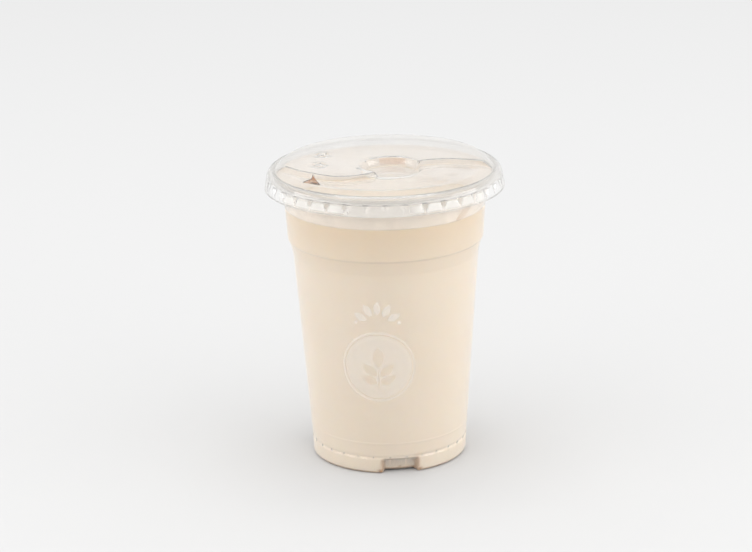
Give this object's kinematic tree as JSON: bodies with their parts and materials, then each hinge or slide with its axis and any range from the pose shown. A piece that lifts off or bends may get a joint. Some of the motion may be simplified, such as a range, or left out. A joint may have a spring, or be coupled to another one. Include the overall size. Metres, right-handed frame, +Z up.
{
  "type": "iced milk tea in a clear plastic cup with lid",
  "caption": "Pale iced milk tea filling a clear tapered cup almost to the top, under a clear strawless lid with a fluted skirt, stepped deck, round recess and sip opening.",
  "frame": {"origin": "centre of the foot ring, on the plane the cup stands on", "axes": "+Z up along the cup's axis, -Y towards the drinking side, +X to the right seen from there"},
  "size_m": [0.1, 0.1, 0.1275],
  "materials": {
    "cup": "clear thermoformed PET",
    "drink": "opaque pale cream milk tea, smooth liquid",
    "lid": "clear thermoformed PET, slightly misted"
  },
  "bodies": {
    "root": {"cup": "cup", "drink": "drink", "lid": "lid"}
  },
  "joints": []
}
